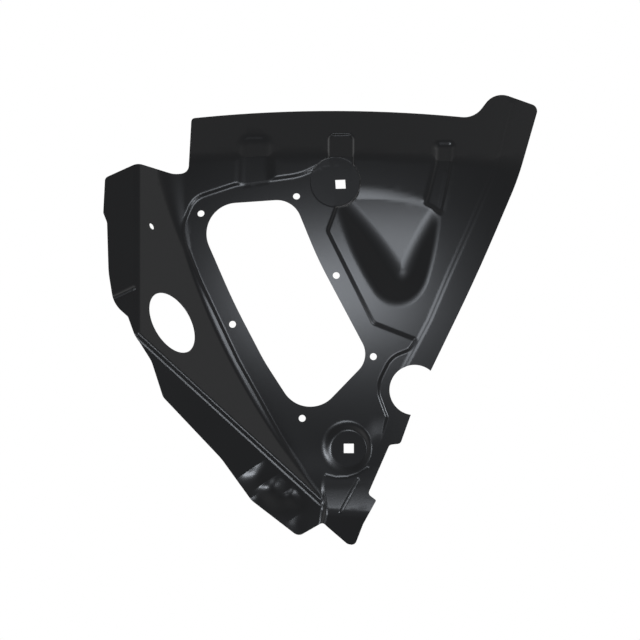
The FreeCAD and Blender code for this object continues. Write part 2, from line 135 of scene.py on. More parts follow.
# narrow beads: line, height, half width
CREASES = [
    ([(9.2, -30.7), (-8.3, -63.5)], 0.8, 1.3),
    ([(-22.8, -26.5), (-12.8, -29.0), (-1.3, -28.5), (8.7, -25.2), (18.7, -19.0)], 0.6, 1.2),
    ([(87.2, 298.5), (86.2, 283.5), (82.7, 268.5), (78.7, 253.5), (76.0, 247.5)], 0.6, 1.6),
    ([(103.0, 286.5), (100.7, 268.5), (97.2, 253.5), (92.8, 236.9)], 0.5, 1.4),
    ([(97.2, 276.7), (94.2, 258.5), (89.8, 236.9)], 0.4, 1.4),
]
# reach of the distances to a form's outline, and to a bead
NEAR_REACH, BEAD_REACH = 14.0, 30.0
# run in mm, or its square, that counts as none
NO_RUN = 1e-12

# depths between which the form is looked for, and how often their gap is halved
NEAREST_Y, FARTHEST_Y, HALVINGS = -180.0, 260.0, 24

# outlines, as corners (x, z, corner radius)
LAND_OUTLINE = [
    (-169.3, 216.5, 38.0), (-154.8, 250.5, 24.0), (-112.8, 264.5, 60.0),
    (-47.8, 273.5, 60.0), (-26.8, 284.0, 8.0), (-6.8, 286.5, 4.0),
    (-11.8, 243.5, 3.0), (-21.3, 217.5, 6.0), (24.7, 125.5, 8.0),
    (68.2, 108.5, 2.5), (60.2, 98.5, 6.0), (42.2, 91.5, 25.0),
    (27.2, 61.5, 30.0), (38.2, 31.5, 4.0), (32.2, 11.5, 10.0),
    (13.2, -29.5, 20.0), (-6.8, -63.5, 2.0), (-20.8, -57.0, 2.0),
    (-56.3, -9.5, 60.0), (-111.3, 88.6, 150.0), (-147.6, 165.5, 150.0),
]
CENTRE_RIB = [
    (-20.2, 313.8, 5.0), (4.6, 313.8, 5.0), (4.6, 268.5, 2.0), (-20.2, 268.5, 2.0),
]
LEFT_RIB = [
    (-107.3, 310.5, 9.0), (-79.3, 310.5, 9.0), (-77.3, 262.5, 4.0), (-109.3, 257.5, 4.0),
]
RIGHT_RIB = [
    (86.7, 305.0, 4.0), (104.2, 305.0, 4.0), (103.2, 285.5, 20.0), (92.2, 234.5, 3.0),
    (76.2, 244.5, 3.0), (81.2, 263.5, 20.0), (86.7, 285.5, 20.0),
]
PANEL_OUTLINE = [
    (-157.4, 330.2, 4.0), (-18.8, 343.7, 1350.0), (125.4, 330.3, 22.0),
    (146.1, 357.3, 20.0), (189.9, 341.8, 7.0), (169.1, 269.3, 280.0),
    (128.3, 173.5, 2000.0), (81.4, 76.6, 2.0), (61.5, 32.3, 1.0), (51.7, 4.9, 4.0),
    (40.7, 3.6, 4.0), (19.2, -45.5, 4.0), (27.5, -51.8, 1.5), (14.4, -75.5, 20.0),
    (6.0, -97.0, 5.0), (-1.5, -95.5, 5.0), (-22.2, -77.7, 3.0),
    (-26.0, -73.9, 4.0), (-50.5, -88.0, 8.0), (-97.4, -51.9, 20.0),
    (-127.6, -10.1, 60.0), (-185.8, 51.4, 10.0), (-197.3, 87.2, 25.0),
    (-215.0, 115.4, 14.0), (-221.0, 132.1, 6.0), (-235.3, 144.8, 28.0),
    (-240.3, 176.0, 80.0), (-241.8, 226.0, 6.0), (-245.6, 235.6, 5.0),
    (-243.8, 270.8, 5.0), (-211.3, 285.5, 14.0), (-173.8, 273.8, 25.0),
    (-160.4, 276.2, 8.0),
]
WINDOW_OUTLINE = [
    (-157.3, 242.9, 31.0), (-55.6, 249.9, 25.0), (-31.2, 190.2, 400.0),
    (21.6, 90.6, 23.0), (-43.3, 23.5, 30.5), (-84.2, 86.6, 200.0),
    (-115.3, 146.2, 600.0),
]

# left edge of the raised strip, from the top down, then out through the scallop
STRIP = [
    (165.2, 388.5), (163.2, 345.5), (151.0, 295.0), (144.9, 276.7), (137.2, 258.5),
    (123.5, 227.0), (99.0, 172.0), (80.6, 128.5), (69.6, 107.5), (51.2, 72.5),
    (76.2, 56.5), (131.2, 48.5),
]

# holes: (x, z), with the radius for the scallop and the twist in degrees for the squares
SCREW_HOLES = [
    (-147.9, 235.1), (-52.3, 252.3), (-116.3, 124.2), (-12.5, 173.1), (-46.6, 30.1),
    (24.6, 91.9),
]
SIDE_SCREW_HOLE = (-196.8, 222.3)
ROUND_OPENING = (-176.4, 125.9)
SCALLOP = (65.8, 58.5, 25.1)
UPPER_SQUARE = (-8.3, 264.4, 4.0)
LOWER_SQUARE = (0.0, 0.0, 0.0)
# corners of the cutters for screw holes, scallop and round opening
SCREW_CORNERS, SCALLOP_CORNERS, OPENING_CORNERS = 40, 64, 96

# refining: turn of the form in degrees, smallest cell in mm, reach round a line in cells
REFINE = (
    (6.0, 3.5, 0.8),
    (8.0, 1.8, 0.8),
    (10.0, 0.9, 0.7),
    (26.0, 0.6, 0.0),
)
# cells this many cell widths outside the sheet are dropped, seen over this distance
WASTE_CELLS, WASTE_REACH = 1.6, 60.0
# thickness of the flat sheet while it is being cut, and half depth of the cutters, in m
BLANK, CUTTER_DEPTH = 0.01, 0.02

# primer: scales of its noises and the detail of its clouds
CLOUD_SCALE, GRAIN_SCALE, FLOW_SCALE, CLOUD_DETAIL = 9.0, 2600.0, 420.0, 3.0
# its darkest and lightest tone as shares of its colour, and where the clouds reach them
DARK_SHARE, LIGHT_SHARE, DARK_AT, LIGHT_AT = 0.8, 1.25, 0.3, 0.7
# how much clouds and grain change its roughness, and flow and grain its height
CLOUD_ROUGH, GRAIN_ROUGH, FLOW_HEIGHT, GRAIN_HEIGHT = 0.06, 0.05, 0.7, 0.3
BUMP_STRENGTH, BUMP_DISTANCE = 0.06, 0.0004
SPECULAR, SPECULAR_TINT, PRIMER_IOR = 0.135, (0.92, 0.95, 1.0, 1.0), 1.5
# studio floor: scale of its specks and their tone as a share of its colour
SPECK_SCALE, SPECK_SHARE = 60.0, 0.99

# stage, in m: middle and height of the view, floor
VIEW_CENTRE, VIEW_HEIGHT, VIEW_DEPTH = (-0.0288, 0.0, 0.1285), 0.640, 50.0
FLOOR_SIZE, FLOOR_HEIGHT = 8.0, -1.60
# lamps: name, x and z of the normal that mirrors it, spot it is aimed at, distance,
# width, height, share of the key lamp's power
LAMPS = (
    ("key", (0.05, 0.18), (-0.0288, 0.0, 0.1285), 2.4, 1.3, 1.1, 1.0),
    ("left", (-0.34, -0.26), (-0.024, 0.007, -0.004), 2.0, 0.6, 0.6, 0.75),
    ("low", (0.44, -0.14), (-0.12, 0.0, 0.04), 2.0, 0.35, 0.6, 0.3),
)
LAMP_COLOUR = (0.95, 0.975, 1.0)


# vectors, planes and the surfaces of the form

def vec(*v):
    return np.array(v, float)


def unit(v):
    v = np.array(v, float)
    return v / np.linalg.norm(v)


def web_depth(x, z):
    across = x - CROWN[0]
    drop = BARREL_R - np.sqrt(BARREL_R ** 2 - across ** 2)
    radius = ARCH_R - drop
    return AXIS_Y - np.sqrt(radius ** 2 - (z - CROWN[2]) ** 2)


def web_point(x, z):
    return vec(x, web_depth(x, z), z)


def web_out(x, z):
    """Outward normal of the web."""
    across = (x - CROWN[0]) / BARREL_R
    level = math.sqrt(1 - across ** 2)
    here = web_point(x, z)
    arm = unit(vec(0, here[1] - AXIS_Y, z - CROWN[2]))
    return unit(vec(across, 0, 0) + arm * level)


def side_point(x, z):
    run = x * math.cos(SIDE_TURN) + z * math.sin(SIDE_TURN) + SIDE_REACH
    return vec(x, run * math.tan(SIDE_LEAN), z)


def pocket_point(x, z):
    """Point on the pocket's floor, without its sag."""
    y = POCKET_ON[1] + POCKET_SLOPE_Z * (z - POCKET_ON[2]) + POCKET_SLOPE_X * (x - POCKET_ON[0])
    return vec(x, y, z)


def flange_out(a, b, angle, away):
    """Outward normal of a flange along the fold a-b, turned from the viewer's direction."""
    viewer = vec(0, -1, 0)
    along = unit(b - a)
    facing = unit(viewer - along * (along @ viewer))
    across = np.cross(along, facing)
    if across @ away < 0:
        across = -across
    return facing * math.cos(angle) + across * math.sin(angle)


def plane_through(a, b, c):
    """A point and the normal towards the viewer of the plane through three points."""
    n = unit(np.cross(b - a, c - a))
    return a, (-n if n[1] > 0 else n)


BAND_OUT = vec(0, -math.cos(BAND_LEAN), math.sin(BAND_LEAN))
BAND_FOOT = web_point(CROWN[0], CREASE_Z)

SIDE_OUT = vec(math.sin(SIDE_LEAN) * math.cos(SIDE_TURN), -math.cos(SIDE_LEAN),
               math.sin(SIDE_LEAN) * math.sin(SIDE_TURN))
LEFT_ON, LEFT_END = [side_point(LEFT_FOLD_X, z) for z in LEFT_FOLD_Z]
LEFT_OUT = flange_out(LEFT_ON, LEFT_END, LEFT_TURN, vec(-1, 0, 0))
LOW_ON = side_point(*LOW_FOLD)
LOW_END = side_point(LOW_FOLD[0] - FOLD_RUN * math.cos(LOW_RISE),
                     LOW_FOLD[1] + FOLD_RUN * math.sin(LOW_RISE))
LOW_OUT = flange_out(LOW_ON, LOW_END, LOW_TURN, vec(-1, 0, -1))

PAD_OUT = web_out(PAD[0], PAD[1])
PAD_ON = web_point(PAD[0], PAD[1]) - PAD_OUT * (LAND_DEPTH + PAD_DROP)
SEAT_OUT = vec(0, -math.cos(SEAT_LEAN), -math.sin(SEAT_LEAN))

# the floor through any three of its points, each wall through two points of its foot
# and one of its upper edge on the web
POCKET_FLOOR = plane_through(pocket_point(0, 250), pocket_point(40, 250),
                             pocket_point(40, 200))
POCKET_LEFT = plane_through(pocket_point(-2.1, 241.5), pocket_point(48.4, 175.6),
                            web_point(7.1, 194.0))
POCKET_RIGHT = plane_through(pocket_point(89.8, 238.5), pocket_point(56.1, 174.1),
                             web_point(82.1, 186.3))

# the tip's end, and the short wall on its left, against the low flange
TIP_END = (vec(0.0, 11.4, -68.0), unit((0.0, -1.0, -0.66)))
TIP_EDGE = (vec(-24.5, 14.0, -70.0), unit((-0.85, -0.5, -0.1)))


# distances to surfaces, outlines and lines

def d_plane(x, y, z, on, out):
    return (x - on[0]) * out[0] + (y - on[1]) * out[1] + (z - on[2]) * out[2]


def d_web(x, y, z):
    across = x - CROWN[0]
    root = np.sqrt(BARREL_R ** 2 - across ** 2)
    radius = ARCH_R - (BARREL_R - root)
    out = np.hypot(y - AXIS_Y, z - CROWN[2])
    return (out - radius) * root / BARREL_R


def d_band(x, y, z):
    arm = BAND_R + (y - BAND_FOOT[1]) * BAND_OUT[1] + (z - BAND_FOOT[2]) * BAND_OUT[2]
    return np.hypot(x - CROWN[0], arm) - BAND_R


def cut(a, b, r):
    """What two bodies share, its edge rounded."""
    u = np.maximum(a + r, 0.0)
    v = np.maximum(b + r, 0.0)
    return np.minimum(-r, np.maximum(a, b)) + np.hypot(u, v)


def join(a, b, r):
    """Two bodies as one, the inner corner between them rounded."""
    u = np.maximum(r - a, 0.0)
    v = np.maximum(r - b, 0.0)
    return np.maximum(r, np.minimum(a, b)) - np.hypot(u, v)


def rounded(corners, miss=0.03, least=0.5):
    """Closed outline through rounded corners, its arcs true within the miss.

    A radius smaller than the least gets the least one's points.
    """
    pts = []
    for i, (x, z, r) in enumerate(corners):
        here = vec(x, z)
        a = unit(vec(*corners[i - 1][:2]) - here)
        b = unit(vec(*corners[(i + 1) % len(corners)][:2]) - here)
        half = math.acos(max(-1, min(1, a @ b))) / 2
        run = r / math.tan(half)
        mid = here + unit(a + b) * (r / math.sin(half))
        first, last = here + a * run, here + b * run
        start = math.atan2(*(first - mid)[::-1])
        end = math.atan2(*(last - mid)[::-1])
        turn = (end - start + math.pi) % (2 * math.pi) - math.pi
        count = max(2, int(abs(turn) / (2 * math.acos(1 - miss / max(r, least)))) + 1)
        for k in range(count + 1):
            angle = start + turn * k / count
            pts.append(mid + r * vec(math.cos(angle), math.sin(angle)))
    return np.array(pts)


def outline_gap(x, z, pts, reach=NEAR_REACH):
    """Distance to a closed outline, negative inside it; beyond its reach it is the reach."""
    gap = np.full(x.shape, reach)
    lo, hi = pts.min(0) - reach, pts.max(0) + reach
    near = (x > lo[0]) & (x < hi[0]) & (z > lo[1]) & (z < hi[1])
    px, pz = x[near], z[near]
    best = np.full(px.shape, reach ** 2)
    inside = np.zeros(px.shape, bool)
    for (ax, az), (bx, bz) in zip(pts, np.roll(pts, -1, axis=0)):
        dx, dz = bx - ax, bz - az
        square = dx * dx + dz * dz
        if square < NO_RUN:
            continue
        t = np.clip(((px - ax) * dx + (pz - az) * dz) / square, 0, 1)
        best = np.minimum(best, (px - ax - t * dx) ** 2 + (pz - az - t * dz) ** 2)
        if abs(dz) > NO_RUN:
            inside ^= ((az > pz) != (bz > pz)) & (px < (bx - ax) * (pz - az) / dz + ax)
    gap[near] = np.where(inside, -np.sqrt(best), np.sqrt(best))
    return gap


def line_gap(x, z, pts, reach=NEAR_REACH):
    """Distance to an open line, positive on its left-hand side."""
    best = np.full(x.shape, np.inf)
    sign = np.ones(x.shape)
    for (ax, az), (bx, bz) in zip(pts[:-1], pts[1:]):
        dx, dz = bx - ax, bz - az
        t = np.clip(((x - ax) * dx + (z - az) * dz) / (dx * dx + dz * dz), 0, 1)
        square = (x - ax - t * dx) ** 2 + (z - az - t * dz) ** 2
        here = np.where(dx * (z - az) - dz * (x - ax) > 0, 1.0, -1.0)
        sign = np.where(square < best, here, sign)
        best = np.minimum(best, square)
    return np.clip(sign * np.sqrt(best), -reach, reach)


def soft_step(share):
    share = np.clip(share, 0.0, 1.0)
    return share * share * (3 - 2 * share)


def wall(gap, level, depth, lean, below=2.0, above=0.6):
    """Leaning wall of a sunk step, which meets the outline at half its depth.

    It stops leaning that much below the step's floor and that share of its depth above it.
    """
    level = np.clip(level, -depth - below, above * depth)
    return gap * np.cos(lean) - (level + depth / 2) * np.sin(lean)


def rise(gap, level, height, lean, below=1.0, above=2.0):
    """Leaning wall of a raised form, narrower towards its top.

    It stops leaning that much below its foot and above its top.
    """
    level = np.clip(level, -below, height + above)
    return gap * math.cos(lean) + (level - height / 2) * math.sin(lean)


LAND = rounded(LAND_OUTLINE)
# ribs: outline, lean of the wall, round
RIBS = (
    (rounded(CENTRE_RIB), 0.6, 0.7),
    (rounded(LEFT_RIB), 1.15, 1.2),
    (rounded(RIGHT_RIB), 1.0, 1.0),
)


class Form:
    """The pressed form over points of the front view."""

    def __init__(self, x, z):
        self.x, self.z = x, z
        self.land = outline_gap(x, z, LAND)
        self.ribs = [outline_gap(x, z, outline) for outline, _, _ in RIBS]
        self.strip = line_gap(x, z, STRIP)
        self.pad = np.hypot(x - PAD[0], z - PAD[1]) - PAD[2]
        self.bead = line_gap(x, z, BEAD, BEAD_REACH)
        ridge = BEAD_HEIGHT * np.exp(-(self.bead / BEAD_HALF) ** 2)
        self.flange_relief = self.flutes() + ridge
        self.creases = 0.0
        self.seam = np.full(x.shape, BEAD_REACH)
        for line, high, half in CREASES:
            gap = np.abs(line_gap(x, z, line, BEAD_REACH))
            self.creases = self.creases + high * np.exp(-(gap / half) ** 2)
            self.seam = np.minimum(self.seam, gap)
        fold = (x - LOW_FOLD[0]) * math.sin(LOW_RISE) + (z - LOW_FOLD[1]) * math.cos(LOW_RISE)
        self.fold = np.maximum(np.abs(fold - FOLD_MIDDLE) - FOLD_HALF, 0.0)

    def flutes(self):
        """Height of the shallow flutes across the low flange."""
        height = 0.0
        for (x, z), reach, slope, wide in FLUTES:
            u = (self.x - x) * FLUTE_LINE[0] + (self.z - z) * FLUTE_LINE[1]
            v = (self.x - x) * FLUTE_LINE[1] - (self.z - z) * FLUTE_LINE[0]
            ahead = np.maximum(u, 0.0)
            tail = np.exp(-(ahead / wide / FLUTE_TAIL) ** 2)
            swell = slope * wide * np.tanh(ahead / wide) * tail
            height = height + swell * np.exp(-(v / reach) ** 2)
        past = -FLUTE_START - FLUTE_WAY[0] * self.x - FLUTE_WAY[1] * self.z
        return height * soft_step(past / FLUTE_SPAN)

    def nearest_line(self):
        """Distance in the front view to the nearest narrow feature."""
        lines = (self.land, *self.ribs, self.strip, self.pad, self.bead, self.seam, self.fold)
        return np.min([np.abs(line) for line in lines], axis=0)

    def arch(self, y):
        """Web, upper band and dished tip."""
        x, z = self.x, self.z
        arch = cut(d_web(x, y, z), d_band(x, y, z), CREASE_ROUND)
        bend = TIP_BEND * (np.minimum(z, TIP_FLAT_Z) - TIP_Z) ** 2
        dish = TIP_LEVEL + TIP_TURN * (x - TIP_TURN_X) - bend - y
        tip = cut(dish, d_plane(x, y, z, *TIP_END), TIP_END_ROUND)
        tip = cut(tip, d_plane(x, y, z, *TIP_EDGE), TIP_EDGE_ROUND)
        tip = np.maximum(tip, z - TIP_TOP_Z)
        return join(arch, tip, TIP_JOIN_ROUND)

    def side(self, y):
        """Side face, its two flanges and the joggle along the low fold."""
        x, z = self.x, self.z
        left = d_plane(x, y, z, LEFT_ON, LEFT_OUT)
        low = d_plane(x, y, z, LOW_ON, LOW_OUT)
        side = cut(d_plane(x, y, z, LEFT_ON, SIDE_OUT), left, LEFT_FOLD_ROUND)
        side = cut(side, low, LOW_FOLD_ROUND)
        below = d_plane(x, y, z, LOW_ON, SIDE_OUT) + JOGGLE_RUN
        joggle = cut(low - JOGGLE_STEP, below, JOGGLE_ROUND)
        joggle = cut(joggle, left, JOGGLE_END)
        return join(side, joggle, JOGGLE_END) - self.flange_relief

    def land_tool(self, arch):
        """Body that sinks the land into the arch; it runs out towards the tip."""
        x, z = self.x, self.z
        right_part = soft_step((x - RIGHT_PART_X) / RIGHT_PART_SPAN)
        start = z - RUNOUT_Z - RUNOUT_SHIFT * right_part
        share = soft_step(start / (RUNOUT_SPAN - RUNOUT_TIGHTER * right_part))
        level = arch + (LAND_DEPTH + LAND_ROUND) * share - LAND_ROUND
        upper = soft_step((z - LEAN_Z) / LEAN_SPAN)
        lean = LAND_LEAN + LAND_MORE_LEAN * upper * soft_step((LEAN_X - x) / LEAN_SPAN)
        return cut(wall(self.land, arch, LAND_DEPTH, lean), -level, LAND_ROUND)

    def pocket_tool(self, y):
        """Body that sinks the pocket, clear of the pad."""
        x, z = self.x, self.z
        floor = d_plane(x, y, z, *POCKET_FLOOR)
        corner = CORNER_ROUND + CORNER_GROWTH * np.clip(floor, 0, CORNER_TOP)
        floor = floor + POCKET_SAG * np.clip(1 - ((z - SAG_Z) / SAG_HALF) ** 2, 0, 1)
        left = d_plane(x, y, z, *POCKET_LEFT)
        right = d_plane(x, y, z, *POCKET_RIGHT)
        tool = cut(cut(-left, -right, corner), -floor, POCKET_FOOT_ROUND)
        tool = np.maximum(tool, z - POCKET_TOP_Z)
        return np.maximum(tool, -(self.pad - PAD_CLEARANCE))

    def gap(self, y):
        """Distance at depth y from the form's face, negative behind it."""
        arch = self.arch(y)
        form = cut(arch, -self.land_tool(arch), LAND_ROUND)
        growth = VALLEY_GROWTH * np.clip((self.z - VALLEY_Z) / VALLEY_SPAN, 0, 1)
        form = join(form, self.side(y), VALLEY_ROUND + growth)
        strip = rise(-self.strip, arch, STRIP_HEIGHT, STRIP_LEAN)
        form = join(form, cut(arch - STRIP_HEIGHT, strip, STRIP_ROUND), STRIP_ROUND)
        form = cut(form, -self.pocket_tool(y), POCKET_EDGE_ROUND)
        for rib, (_, lean, r) in zip(self.ribs, RIBS):
            tool = cut(wall(rib, arch, LAND_DEPTH, lean), -(arch + LAND_DEPTH), r)
            form = cut(form, -tool, r)
        pad_top = d_plane(self.x, y, self.z, PAD_ON, PAD_OUT)
        return cut(form, -cut(self.pad, -pad_top, PAD_ROUND), PAD_ROUND)

    def seat_share(self):
        """How far down the seat's wall a point lies: 0 on the flat top, 1 past the foot."""
        x, z = self.x, self.z
        angle = np.arctan2(z / FOOT_TALL, (x - FOOT_X) / FOOT_WIDE)
        foot = np.hypot(FOOT_X + FOOT_WIDE * np.cos(angle), FOOT_TALL * np.sin(angle))
        out = (np.hypot(x, z) - SEAT_R) / (foot - SEAT_R)
        step = np.linspace(0, 1, WALL_STEPS)
        slope = np.minimum(step / WALL_BEND_TOP, 1) * np.minimum((1 - step) / WALL_BEND_FOOT, 1)
        return np.interp(out, step, np.cumsum(slope) / slope.sum())

    def depth(self):
        """Depth y of the form at each point."""
        lo = np.full(self.x.shape, NEAREST_Y)
        hi = np.full(self.x.shape, FARTHEST_Y)
        for _ in range(HALVINGS):
            mid = (lo + hi) / 2
            inside = self.gap(mid) < 0
            hi = np.where(inside, mid, hi)
            lo = np.where(inside, lo, mid)
        around = (lo + hi) / 2 - self.creases
        seat = -self.z * math.tan(SEAT_LEAN)
        share = self.seat_share()
        return seat * (1 - share) + around * share


# small tools for objects and the flat sheet

def only(*objs):
    """Select nothing but these objects, the last one active."""
    if bpy.context.mode != "OBJECT":
        bpy.ops.object.mode_set(mode="OBJECT")
    bpy.ops.object.select_all(action="DESELECT")
    for obj in objs:
        obj.select_set(True)
    if objs:
        bpy.context.view_layer.objects.active = objs[-1]


def settle(obj):
    """Put the object's own place into its mesh."""
    only(obj)
    bpy.ops.object.transform_apply(location=True, rotation=True, scale=True)


def vertices_of(obj):
    co = np.empty(len(obj.data.vertices) * 3)
    obj.data.vertices.foreach_get("co", co)
    return co.reshape(-1, 3)


def outward_at(x, z, step=0.15):
    """Outward normals of the drawn form, from the slope of its depth."""
    along = (Form(x + step, z).depth() - Form(x - step, z).depth()) / (2 * step)
    up = (Form(x, z + step).depth() - Form(x, z - step).depth()) / (2 * step)
    normal = np.stack([along, -np.ones_like(along), up], -1)
    return normal / np.linalg.norm(normal, axis=-1, keepdims=True)


def flat_grid(cell, margin=4.0):
    """Flat sheet of square cells over the whole outline, upright in the front view."""
    pts = rounded(PANEL_OUTLINE)
    low, high = pts.min(0) - margin, pts.max(0) + margin
    across = int((high[0] - low[0]) / cell) + 1
    tall = int((high[1] - low[1]) / cell) + 1
    bpy.ops.mesh.primitive_grid_add(
        x_subdivisions=across, y_subdivisions=tall, size=1.0,
        location=((low[0] + across * cell / 2) * MM, 0, (low[1] + tall * cell / 2) * MM),
        rotation=(math.pi / 2, 0, 0))
    sheet = bpy.context.active_object
    sheet.scale = (across * cell * MM, tall * cell * MM, 1.0)
    settle(sheet)
    return sheet


def open_faces(sheet):
    """Go into edit mode with nothing selected; return the mesh and its faces' middles."""
    only(sheet)
    bpy.ops.object.mode_set(mode="EDIT")
    bpy.ops.mesh.select_mode(type="FACE")
    mesh = bmesh.from_edit_mesh(sheet.data)
    bpy.ops.mesh.select_all(action="DESELECT")
    middle = np.array([face.calc_center_median()[:] for face in mesh.faces]) / MM
    return mesh, middle[:, 0], middle[:, 2]


def drop_waste(sheet, reach):
    """Cut away the cells well outside the outline or inside the window."""
    mesh, x, z = open_faces(sheet)
    outer = outline_gap(x, z, rounded(PANEL_OUTLINE), WASTE_REACH)
    inner = outline_gap(x, z, rounded(WINDOW_OUTLINE), WASTE_REACH)
    for face, waste in zip(mesh.faces, (outer > reach) | (inner < -reach)):
        face.select_set(bool(waste))
    bmesh.update_edit_mesh(sheet.data)
    bpy.ops.mesh.delete(type="FACE")
    bpy.ops.object.mode_set(mode="OBJECT")


def refine(sheet, turn_limit, smallest, reach):
    """Halve the cells across which the form turns more than the limit or that are near a line."""
    co = vertices_of(sheet) / MM
    normal = outward_at(co[:, 0], co[:, 2])
    mesh, x, z = open_faces(sheet)
    limit = math.cos(math.radians(turn_limit))
    for face, gap in zip(mesh.faces, Form(x, z).nearest_line()):
        ids = [vert.index for vert in face.verts]
        spread = min(normal[a] @ normal[b] for a in ids for b in ids)
        size = max(edge.calc_length() for edge in face.edges) / MM
        face.select_set(bool(size > smallest and (spread < limit or gap < reach * size)))
    bmesh.update_edit_mesh(sheet.data)
    bpy.ops.mesh.subdivide(number_cuts=1, ngon=True)
    bpy.ops.object.mode_set(mode="OBJECT")


def thicken(sheet):
    """Make the flat sheet a thin slab, so that every cut leaves a closed edge."""
    only(sheet)
    bpy.ops.object.mode_set(mode="EDIT")
    bpy.ops.mesh.select_all(action="SELECT")
    bpy.ops.mesh.extrude_region_move(TRANSFORM_OT_translate={"value": (0, BLANK, 0)})
    bpy.ops.mesh.select_all(action="SELECT")
    bpy.ops.mesh.normals_make_consistent(inside=False)
    bpy.ops.object.mode_set(mode="OBJECT")


def cutter(name, points):
    """Block with the outline of a cut, through the flat sheet."""
    mesh = bpy.data.meshes.new(name)
    build = bmesh.new()
    near = [build.verts.new((x * MM, -CUTTER_DEPTH, z * MM)) for x, z in points]
    result = bmesh.ops.extrude_face_region(build, geom=[build.faces.new(near)])
    moved = [part for part in result["geom"] if isinstance(part, bmesh.types.BMVert)]
    bmesh.ops.translate(build, verts=moved, vec=(0, 2 * CUTTER_DEPTH, 0))
    bmesh.ops.recalc_face_normals(build, faces=build.faces)
    build.to_mesh(mesh)
    build.free()
    obj = bpy.data.objects.new(name, mesh)
    bpy.context.scene.collection.objects.link(obj)
    return obj


def apply_cut(sheet, name, points, operation="DIFFERENCE"):
    tool = cutter(name, points)
    only(sheet)
    change = sheet.modifiers.new("cut", "BOOLEAN")
    change.operation = operation
    change.solver = "MANIFOLD"
    change.object = tool
    bpy.ops.object.modifier_apply(modifier=change.name)
    bpy.data.objects.remove(tool, do_unlink=True)


def hole_points(x, z, radius, out, count):
    """A round hole square to the surface, as it shows in the front view."""
    one = unit(np.cross(out, vec(0, 0, 1)))
    two = np.cross(out, one)
    pts = []
    for k in range(count):
        angle = 2 * math.pi * k / count
        arm = radius * (one * math.cos(angle) + two * math.sin(angle))
        pts.append((x + arm[0], z + arm[2]))
    return pts


def square_points(x, z, side, out, twist):
    """A square hole square to the surface, as it shows in the front view."""
    one = vec(math.cos(math.radians(twist)), 0, math.sin(math.radians(twist)))
    up = unit(np.cross(out, one))
    one = unit(np.cross(up, out))
    half = side / 2
    return [(x + a * half * one[0] + b * half * up[0], z + a * half * one[2] + b * half * up[2])
            for a, b in ((-1, -1), (1, -1), (1, 1), (-1, 1))]


def pierce(sheet, sizes):
    """Cut outline, window, scallop and holes out of the slab."""
    apply_cut(sheet, "outline", rounded(PANEL_OUTLINE), "INTERSECT")
    apply_cut(sheet, "window", rounded(WINDOW_OUTLINE))
    x, z, radius = SCALLOP
    apply_cut(sheet, "scallop", hole_points(x, z, radius, vec(0, -1, 0), SCALLOP_CORNERS))
    screw_radius = sizes.screw_hole / MM / 2
    for x, z in SCREW_HOLES:
        out = outward_at(np.array([x]), np.array([z]))[0]
        apply_cut(sheet, "hole", hole_points(x, z, screw_radius, out, SCREW_CORNERS))
    opening_radius = sizes.round_opening / MM / 2
    for (x, z), radius, count in ((SIDE_SCREW_HOLE, screw_radius, SCREW_CORNERS),
                                  (ROUND_OPENING, opening_radius, OPENING_CORNERS)):
        apply_cut(sheet, "hole", hole_points(x, z, radius, SIDE_OUT, count))
    for (x, z, twist), out in ((UPPER_SQUARE, PAD_OUT), (LOWER_SQUARE, SEAT_OUT)):
        apply_cut(sheet, "square", square_points(x, z, sizes.square_hole / MM, out, twist))


def press(sheet, gauge):
    """Move the slab to depth: its front follows the form, its back lies one gauge behind."""
    co = vertices_of(sheet) / MM
    depth = Form(co[:, 0], co[:, 2]).depth()
    normal = outward_at(co[:, 0], co[:, 2])
    back = co[:, 1] > BLANK / MM / 2
    place = np.stack([co[:, 0], depth, co[:, 2]], -1)
    place[back] -= normal[back] * gauge
    mesh = sheet.data
    mesh.vertices.foreach_set("co", (place * MM).ravel())
    mesh.update()
    for poly in mesh.polygons:
        poly.use_smooth = True
    # shading follows the drawn form on both faces, and the trimmed edge stays flat
    loops = np.empty((len(mesh.loops), 3))
    for poly in mesh.polygons:
        ids = list(poly.vertices)
        count_back = sum(bool(back[i]) for i in ids)
        for loop, i in zip(poly.loop_indices, ids):
            if count_back == 0:
                loops[loop] = normal[i]
            elif count_back == len(ids):
                loops[loop] = -normal[i]
            else:
                loops[loop] = poly.normal[:]
    mesh.normals_split_custom_set(loops)


# materials

class Sock:
    """A node's output that can be used in sums."""

    def __init__(self, tree, out):
        self.tree = tree
        self.out = out

    def _math(self, operation, other, swap=False):
        node = self.tree.nodes.new("ShaderNodeMath")
        node.operation = operation
        ends = (other, self) if swap else (self, other)
        for k, end in enumerate(ends):
            if isinstance(end, Sock):
                self.tree.links.new(end.out, node.inputs[k])
            else:
                node.inputs[k].default_value = end
        return Sock(self.tree, node.outputs[0])

    def __add__(self, other):
        return self._math("ADD", other)

    def __radd__(self, other):
        return self._math("ADD", other, True)

    def __sub__(self, other):
        return self._math("SUBTRACT", other)

    def __rsub__(self, other):
        return self._math("SUBTRACT", other, True)

    def __mul__(self, other):
        return self._math("MULTIPLY", other)

    def __rmul__(self, other):
        return self._math("MULTIPLY", other, True)


